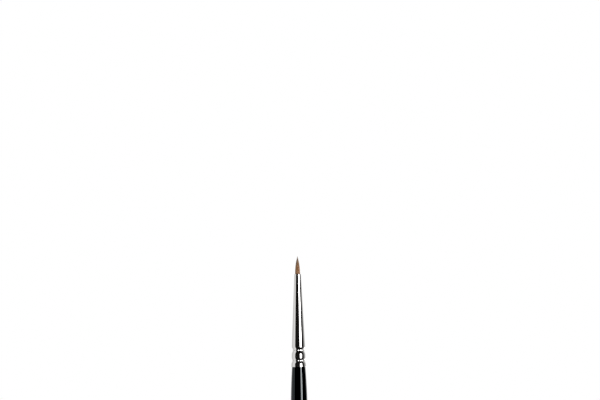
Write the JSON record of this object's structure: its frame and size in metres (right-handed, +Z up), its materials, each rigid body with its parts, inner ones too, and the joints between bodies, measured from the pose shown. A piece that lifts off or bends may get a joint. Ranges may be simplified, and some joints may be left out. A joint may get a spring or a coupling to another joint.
{
  "type": "detail paint brush",
  "caption": "Pointed round detail brush: fine sable tuft in a tapered, double-crimped nickel-plated ferrule on a slim black lacquered wooden handle.",
  "frame": {"origin": "lowest point of the handle's butt, on the axis of the brush", "axes": "+Z up the axis of the brush from the butt to the tip of the hair; the brush is round, so +X and +Y are any two directions across it, and the hair is jointed to bend towards +X and -X"},
  "size_m": [0.0054, 0.0054, 0.175],
  "materials": {
    "nickel_plate": "polished nickel plate on drawn brass",
    "sable_hair": "fine glossy animal hair, greyer towards its tips",
    "black_lacquer": "high gloss lacquer",
    "handle_wood": "fine-grained turned hardwood",
    "thread": "waxed thread",
    "resin": "clear amber setting resin",
    "glue": "set glue"
  },
  "bodies": {
    "handle": {"handle_wood": "handle_wood", "handle_lacquer": "black_lacquer", "tenon_glue": "glue", "ferrule": "nickel_plate", "root_resin": "resin", "binding_thread": "thread"},
    "tuft": {"point_hairs": "sable_hair", "belly_hairs": "sable_hair"}
  },
  "joints": [
    {"name": "tuft_bend", "type": "hinge", "parent": "handle", "child": "tuft", "pos_m": [0, 0, 0.1692], "axis": [0, 1, 0], "range_deg": [-50, 50], "stiffness_Nm_per_rad": 0.00025, "deforming": ["point_hairs", "belly_hairs"]}
  ]
}
